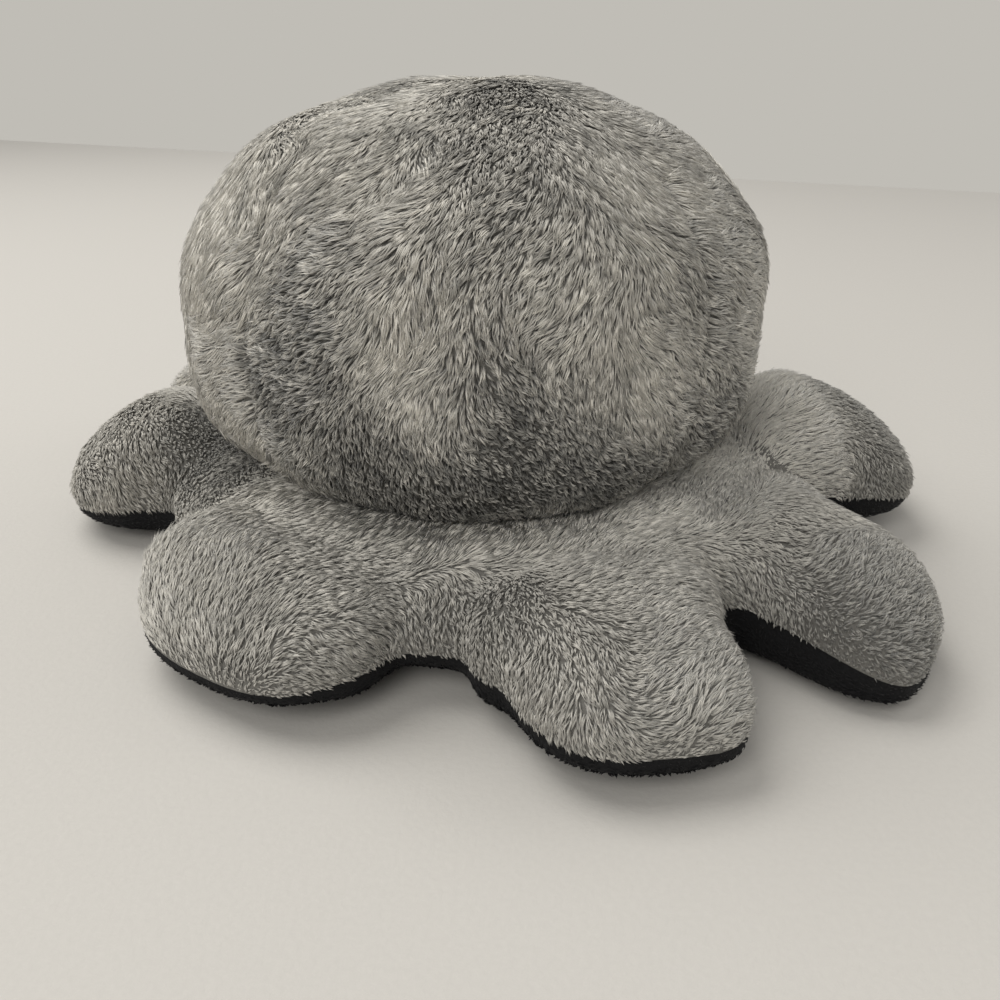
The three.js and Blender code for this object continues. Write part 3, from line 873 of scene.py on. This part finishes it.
def add_head():
    """The cloth of the head's gores, and the pile of each in two halves."""
    guides = head_guides()
    latitudes = np.radians(np.linspace(HEM_LATITUDE, CROWN_LATITUDE, GORE_ROWS))[:, None]
    for index in range(GORE_COUNT):
        name = f"head_gore_{index + 1}"
        points = head_points(gore_columns(index)[None, :], latitudes).reshape(-1, 3)
        cloth = add_piece(name + "_cloth", points, grid_faces(GORE_ROWS, GORE_COLUMNS), grey_cloth)
        roots, normals = scatter(*triangles_of(cloth.data), HEAD_LOCK.density)
        lie = (roots, normals, *head_lie(roots, normals, guides))
        before_middle = azimuth_of(roots @ turn_about_z(-index * GORE_ANGLE).T) < 0
        for half, chosen in (("near", before_middle), ("far", ~before_middle)):
            own_lie = [values[chosen] for values in lie]
            pile = lay_pile(f"{name}_pile_{half}", *own_lie, HEAD_LOCK, head_pile, "grey_plush")
            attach(pile, "root")
        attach(cloth, "root")
        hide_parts(name)
        if index == 0:
            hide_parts("head_filling")


# Skirt and tentacles
HALF_SKIRT = SKIRT_HEIGHT / 2


class Limb:
    """A tentacle's frame and sizes: along is its outward axis and across points towards growing azimuth."""

    def __init__(self, name, azimuth, shares):
        length, width, root, rise, bow, seam, end, self.slant = shares
        self.name = name
        self.azimuth = azimuth
        self.along = around(1, self.azimuth, 0)
        self.across = around(1, self.azimuth + math.pi / 2, 0)
        self.length = TENTACLE_LENGTH * length
        self.end = min(END_ROUND, self.length)
        self.half_width = TENTACLE_HALF_WIDTH * width
        self.root_half_width = ROOT_HALF_WIDTH * root
        self.rise = BULB_RISE * rise
        self.bow = TENTACLE_HALF_WIDTH * bow
        self.tip_seam = TIP_SEAM_HEIGHT * seam
        self.end_power = END_POWER * end


bend_azimuths = {joint["child"]: float(azimuth_of(np.array(joint["pos_m"]))) for joint in frame["joints"]}
limbs = [Limb(name, bend_azimuths[name], shares) for name, shares in TENTACLE_SHARES.items()]
shoulders = [Limb("shoulder", math.radians(azimuth), shares) for azimuth, shares in SHOULDER_SHARES.items()]


def web_azimuths():
    """The azimuth midway between each tentacle and the next."""
    middles = []
    for limb, following in zip(limbs, limbs[1:] + limbs[:1]):
        step = (following.azimuth - limb.azimuth) % (2 * math.pi)
        middles.append(limb.azimuth + step / 2)
    return middles


WEB_AZIMUTHS = web_azimuths()


def limb_numbers(points):
    """Which tentacle's sector each point lies in."""
    azimuths = azimuth_of(points)
    start = WEB_AZIMUTHS[-1]
    stops = np.array([(azimuth - start) % (2 * math.pi) for azimuth in WEB_AZIMUTHS[:-1]])
    return np.searchsorted(stops, (azimuths - start) % (2 * math.pi))


def between_webs(points, values):
    """A value for each point, from the values in the webs on both sides of it."""
    return np.interp(azimuth_of(points), WEB_AZIMUTHS, values, period=2 * math.pi)


def seam_heights(points):
    """The height at which the grey cloth is sewn to the black one, over or under each point."""
    heights = between_webs(points, WEB_SEAM_HEIGHTS)
    number = limb_numbers(points)
    for index, limb in enumerate(limbs):
        mine = number == index
        share = (points[mine] @ limb.along - HINGE_DISTANCE) / limb.length
        heights[mine] = mix(heights[mine], limb.tip_seam, np.clip(share, 0, 1) ** SEAM_POWER)
    return heights


def sole_powers(points):
    azimuths, powers = zip(*SOLE_POWERS)
    return np.interp(np.degrees(azimuth_of(points)), azimuths, powers, period=360)


def ring_body():
    """The skirt as one closed ring, with its inner wall out of sight between the filling and the pocket."""
    azimuths = np.linspace(0, 2 * np.pi, SKIRT_COLUMNS, endpoint=False)
    edge = around(HINGE_DISTANCE, azimuths, 0)
    seam = seam_heights(edge)
    rounding = between_webs(edge, WEB_ROUNDS)
    flat = HINGE_DISTANCE + between_webs(edge, WEB_REACHES) - rounding
    turns = np.linspace(0, np.pi / 2, EDGE_ROWS)
    profile = [around(radius, azimuths, height) for radius, height in INNER_WALL]
    for turn in turns:
        height = seam + (SKIRT_HEIGHT + SKIRT_SWELL - seam) * np.cos(turn)
        profile.append(around(flat + rounding * np.sin(turn), azimuths, height))
    for turn in turns[::-1][1:]:
        height = seam * (1 - np.cos(turn) ** sole_powers(edge))
        profile.append(around(flat + rounding * np.sin(turn), azimuths, height))
    profile.append(profile[0])
    points = np.concatenate(profile)
    return points, ring_faces(len(profile), SKIRT_COLUMNS)[:, ::-1]


def limb_row(limb, x, turns):
    """A tentacle's cross section, x past the bend line: a point for each turn about its axis."""
    share = max(0, x / limb.length)
    straight = limb.length - limb.end
    past = max(0, (x - straight) / limb.end)
    taper = math.sqrt(max(0, 1 - past ** 2))
    swell = float(smooth((x - ROOT_REACH) / SWELL_LENGTH))
    half_width = mix(limb.root_half_width, limb.half_width, swell)
    sunk = float(smooth(share))
    sink = (HALF_SKIRT - TIP_SEAM_HEIGHT) * sunk
    start = float(smooth((x + LIMB_INSET) / RISE_LENGTH))
    rise = limb.rise * (1 - CREST_FALL * sunk) + sink * SEAM_RISE_SHARE
    back = SKIRT_HEIGHT - sink + rise * start
    y = limb.bow * share ** 2 + half_width * taper ** limb.end_power * np.sin(turns)
    out = HINGE_DISTANCE + x + limb.slant * share ** 2 * y
    plan = out[:, None] * limb.along + y[:, None] * limb.across
    seam = seam_heights(plan)
    power = mix(ROOT_POWER, BULB_POWER, swell)
    full = np.abs(np.cos(turns)) ** power * taper ** END_RISE_POWER
    over = seam + (back - seam) * full
    under = seam * (1 - full ** sole_powers(plan))
    return plan + np.where(np.cos(turns) > 0, over, under)[:, None] * UP


def limb_body(limb):
    """A tentacle as a closed body that starts inside the skirt."""
    xs = limb.length - (limb.length + LIMB_INSET) * (1 - np.sin(np.linspace(0, np.pi / 2, LIMB_ROWS)))
    turns = np.linspace(-np.pi, np.pi, LIMB_COLUMNS, endpoint=False)
    rows = [limb_row(limb, x, turns) for x in xs]
    inner_end = np.arange(LIMB_COLUMNS)[None, ::-1]
    return np.concatenate(rows), ring_faces(len(rows), LIMB_COLUMNS), inner_end


def joined_body():
    """The skirt and its tentacles as one smooth closed skin, with the creases between them filled out."""
    body = bmesh.new()

    def add(points, *face_sets):
        corners = [body.verts.new(point) for point in points]
        for faces in face_sets:
            for face in faces:
                body.faces.new([corners[i] for i in face])

    add(*ring_body())
    for limb in limbs + shoulders:
        add(*limb_body(limb))
    mesh = bpy.data.meshes.new("skin")
    body.to_mesh(mesh)
    body.free()
    skin = bpy.data.objects.new("skin", mesh)
    bpy.context.scene.collection.objects.link(skin)
    remesh = skin.modifiers.new("remesh", "REMESH")
    remesh.mode = "VOXEL"
    remesh.voxel_size = REMESH_CELL
    relax = skin.modifiers.new("relax", "SMOOTH")
    relax.iterations = SMOOTHING_ROUNDS
    relax.factor = SMOOTHING_FACTOR
    view = bpy.context.evaluated_depsgraph_get()
    final = bpy.data.meshes.new_from_object(skin.evaluated_get(view))
    bpy.data.objects.remove(skin)
    return final


def inset_skin(mesh):
    """Draws the skin in to the depth of the cloth, and keeps the sole's cloth off the floor."""
    _, places, normals = mesh_arrays(mesh)
    places = places - normals * SKIRT_CLOTH_DEPTH
    places[:, 2] = np.maximum(places[:, 2], SOLE_HEIGHT)
    mesh.vertices.foreach_set("co", places.ravel())
    mesh.update()


def lift_by_seam(body, share):
    """Lifts each point by a share of the seam's height there."""
    points = np.array([vertex.co for vertex in body.verts])
    for vertex, height in zip(body.verts, seam_heights(points)):
        vertex.co.z += share * height


def cut_at_seam(mesh):
    """Adds an edge along the seam: a level cut through the skin while the seam is lowered to the floor."""
    body = bmesh.new()
    body.from_mesh(mesh)
    lift_by_seam(body, -1)
    parts = body.verts[:] + body.edges[:] + body.faces[:]
    bmesh.ops.bisect_plane(body, geom=parts, dist=CUT_TOLERANCE, plane_co=(0, 0, 0), plane_no=(0, 0, 1))
    lift_by_seam(body, 1)
    bmesh.ops.triangulate(body, faces=body.faces[:])
    body.to_mesh(mesh)
    body.free()
    mesh.update()


def add_cover(name, triangles, points, material):
    used, faces = np.unique(triangles, return_inverse=True)
    cloth = add_piece(name, points[used], faces.reshape(-1, 3), material)
    return cloth


def bend_with(piece):
    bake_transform(piece)


def skirt_flows(points, normals):
    """Outwards over the skirt's top, and down its sides."""
    return along_surface(outward_of(points) - SKIRT_DROP * UP, normals)


def skirt_guides():
    guides = []
    for across, down, direction, painted_lightness in SKIRT_COMB:
        place = seen_at_height((across, down), GUIDE_HEIGHT)
        normal = unit(outward_of(place) * GUIDE_TILT + UP)
        flow = skirt_flows(place[None], normal[None])[0]
        angle = comb_angle(place, normal, flow, math.radians(direction))
        guides.append((on_floor(place), angle, painted_lightness))
    return guides


def grey_lie(roots, normals):
    """The flows and tones of the skirt's grey pile."""
    own_angles = SKIRT_LOCK.swirl * wide_swirls(roots)
    own_tones = SKIRT_PATCHES * wide_tones(roots) + SKIRT_TONE
    angles, tones = comb(on_floor(roots), skirt_guides(), own_angles, own_tones)
    return turned(skirt_flows(roots, normals), normals, untidy(angles, roots, SKIRT_LOCK.untidy)), tones


def black_lie(roots, normals):
    """The flows and tones of the black pile on the underside."""
    flows = along_surface(outward_of(roots) - BLACK_DROP * UP, normals)
    angles = untidy(BLACK_LOCK.swirl * wide_swirls(roots), roots, BLACK_LOCK.untidy)
    return turned(flows, normals, angles), np.zeros(len(roots))


SIDES = {
    "top": (grey_lie, SKIRT_LOCK, grey_cloth, grey_pile, "grey_plush"),
    "bottom": (black_lie, BLACK_LOCK, black_cloth, black_pile, "black_plush"),
}


def shown_triangles(centres, facings, above):
    """Which triangles carry pile: not the inner wall, nor what the head or the pocket covers."""
    from_axis = np.hypot(*centres.T[:2])
    facing_in = (facings * outward_of(centres)).sum(axis=1) < INWARD_FACING
    in_wall = facing_in & (from_axis < WALL_REACH)
    return ~in_wall & (from_axis > np.where(above, TOP_PILE_START, SOLE_PILE_START))


def add_side_pile(name, corners, normals, side):
    """The pile on one side of a tentacle and of the skirt behind it, shorter towards the edge seam."""
    lie_of, lock, _, material, slot_name = SIDES[side]
    roots, facings = scatter(corners, normals, lock.density)
    flows, tones = lie_of(roots, facings)
    from_seam = np.abs(roots[:, 2] - seam_heights(roots))
    shares = mix(FRINGE_SHARE, 1, smooth(from_seam / FRINGE_REACH))
    return lay_pile(name, roots, facings, flows, tones, standing_of(tones), lock, material, slot_name, shares)


def add_skirt():
    """The cloth and pile of each tentacle with its sector of the skirt, above the edge seam and below it."""
    mesh = joined_body()
    inset_skin(mesh)
    cut_at_seam(mesh)
    index, points, _ = mesh_arrays(mesh)
    corners, normals = triangles_of(mesh)
    centres = corners.mean(axis=1)
    number = limb_numbers(centres)
    above = centres[:, 2] > seam_heights(centres)
    shown = shown_triangles(centres, normals.mean(axis=1), above)
    for position, limb in enumerate(limbs):
        for side, mine in (("top", above), ("bottom", ~above)):
            _, _, material, _, slot_name = SIDES[side]
            chosen = mine & (number == position)
            name = f"{limb.name}_{side}"
            cloth = add_cover(name + "_cloth", index[chosen], points, material)
            bend_with(cloth)
            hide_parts(name)
            furry = chosen & shown
            pile = add_side_pile(name + "_pile", corners[furry], normals[furry], side)
            bend_with(pile)
            if side == "top":
                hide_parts(limb.name + "_filling")
            if position == 0:
                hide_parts("skirt_" + side)
                if side == "top":
                    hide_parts("skirt_filling")
    bpy.data.meshes.remove(mesh)


# Pocket
def pocket_points(azimuth, latitude):
    fold = FOLD_DEPTH * np.cos(azimuth * FOLDS) * np.sin(2 * latitude)
    dome = POCKET_HEIGHT - POCKET_BASE
    return around(POCKET_RADIUS * np.cos(latitude) + fold, azimuth, POCKET_BASE + dome * np.sin(latitude))


def add_pocket():
    """The black gores tucked up inside, with their pile into the pocket."""
    latitudes = np.linspace(0, math.radians(POCKET_TOP_LATITUDE), POCKET_ROWS)[:, None]
    faces = grid_faces(POCKET_ROWS, POCKET_COLUMNS)[:, ::-1]
    for index in range(GORE_COUNT):
        azimuths = (index + np.linspace(-0.5, 0.5, POCKET_COLUMNS))[None, :] * GORE_ANGLE
        points = pocket_points(azimuths, latitudes).reshape(-1, 3)
        cloth = add_piece(f"pocket_gore_{index + 1}_cloth", points, faces, black_cloth)
        roots, normals = scatter(*triangles_of(cloth.data), POCKET_LOCK.density)
        angles = untidy(POCKET_LOCK.swirl * wide_swirls(roots), roots, POCKET_LOCK.untidy)
        flows = turned(along_surface(-UP, normals), normals, angles)
        even = np.zeros(len(roots))
        name = f"pocket_gore_{index + 1}_pile"
        pile = lay_pile(name, roots, normals, flows, even, even, POCKET_LOCK, black_pile, "black_plush")
        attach(pile, "root")
        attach(cloth, "root")
        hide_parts(f"inner_head_gore_{index + 1}")


def finish_threads():
    for name, material in (("neck_seam_thread", grey_thread), ("pocket_seam_thread", black_thread)):
        frame["nodes"][name].data.materials.clear()
        frame["nodes"][name].data.materials.append(material)


# Stage
def add_camera():
    data = bpy.data.cameras.new("camera")
    data.sensor_width = SENSOR_WIDTH
    data.lens = FOCAL_PIXELS / IMAGE_SIDE * SENSOR_WIDTH
    camera = bpy.data.objects.new("camera", data)
    camera.location = CAMERA_PLACE
    camera.rotation_euler = (math.radians(90 - CAMERA_DOWN), 0, 0)
    bpy.context.scene.collection.objects.link(camera)
    bpy.context.scene.camera = camera


def add_floor():
    """A wide, square, pale floor that ends where the photograph's does."""
    left, right = (seen_at_height(pixel, 0) for pixel in FLOOR_EDGE_PIXELS)
    beside = unit(right - left) * FLOOR_REACH
    front = 2 * np.array((beside[1], -beside[0], 0))
    points = np.array([left - beside, left + beside, left + beside + front, left - beside + front])
    add_piece("floor", points, np.array([[0, 3, 2, 1]]), floor_cloth)


def add_world():
    """Soft light from all round. The camera sees the backdrop's own colour there."""
    world = bpy.data.worlds.new("studio")
    world.use_nodes = True
    bpy.context.scene.world = world
    nodes = world.node_tree.nodes
    link = world.node_tree.links.new
    light = nodes["Background"]
    light.inputs["Color"].default_value = (*LIGHT_COLOR, 1)
    light.inputs["Strength"].default_value = WORLD_STRENGTH
    backdrop = nodes.new("ShaderNodeBackground")
    backdrop.inputs["Color"].default_value = (*BACKDROP_COLOR, 1)
    path = nodes.new("ShaderNodeLightPath")
    seen = nodes.new("ShaderNodeMixShader")
    link(path.outputs["Is Camera Ray"], seen.inputs["Fac"])
    link(light.outputs["Background"], seen.inputs[1])
    link(backdrop.outputs["Background"], seen.inputs[2])
    link(seen.outputs["Shader"], nodes["World Output"].inputs["Surface"])


def add_lamp(name, place, size, power):
    data = bpy.data.lights.new(name, "AREA")
    data.shape = "DISK"
    data.size = size
    data.energy = power
    data.color = LIGHT_COLOR
    lamp = bpy.data.objects.new(name, data)
    lamp.location = place
    lamp.rotation_euler = (Vector(LAMP_AIM) - Vector(place)).to_track_quat("-Z", "Y").to_euler()
    bpy.context.scene.collection.objects.link(lamp)


add_camera()
add_head()
add_skirt()
add_pocket()
finish_threads()
add_floor()
add_world()
for lamp_name, lamp_values in LAMPS.items():
    add_lamp(lamp_name, *lamp_values)
bpy.context.scene.view_settings.view_transform = "Standard"
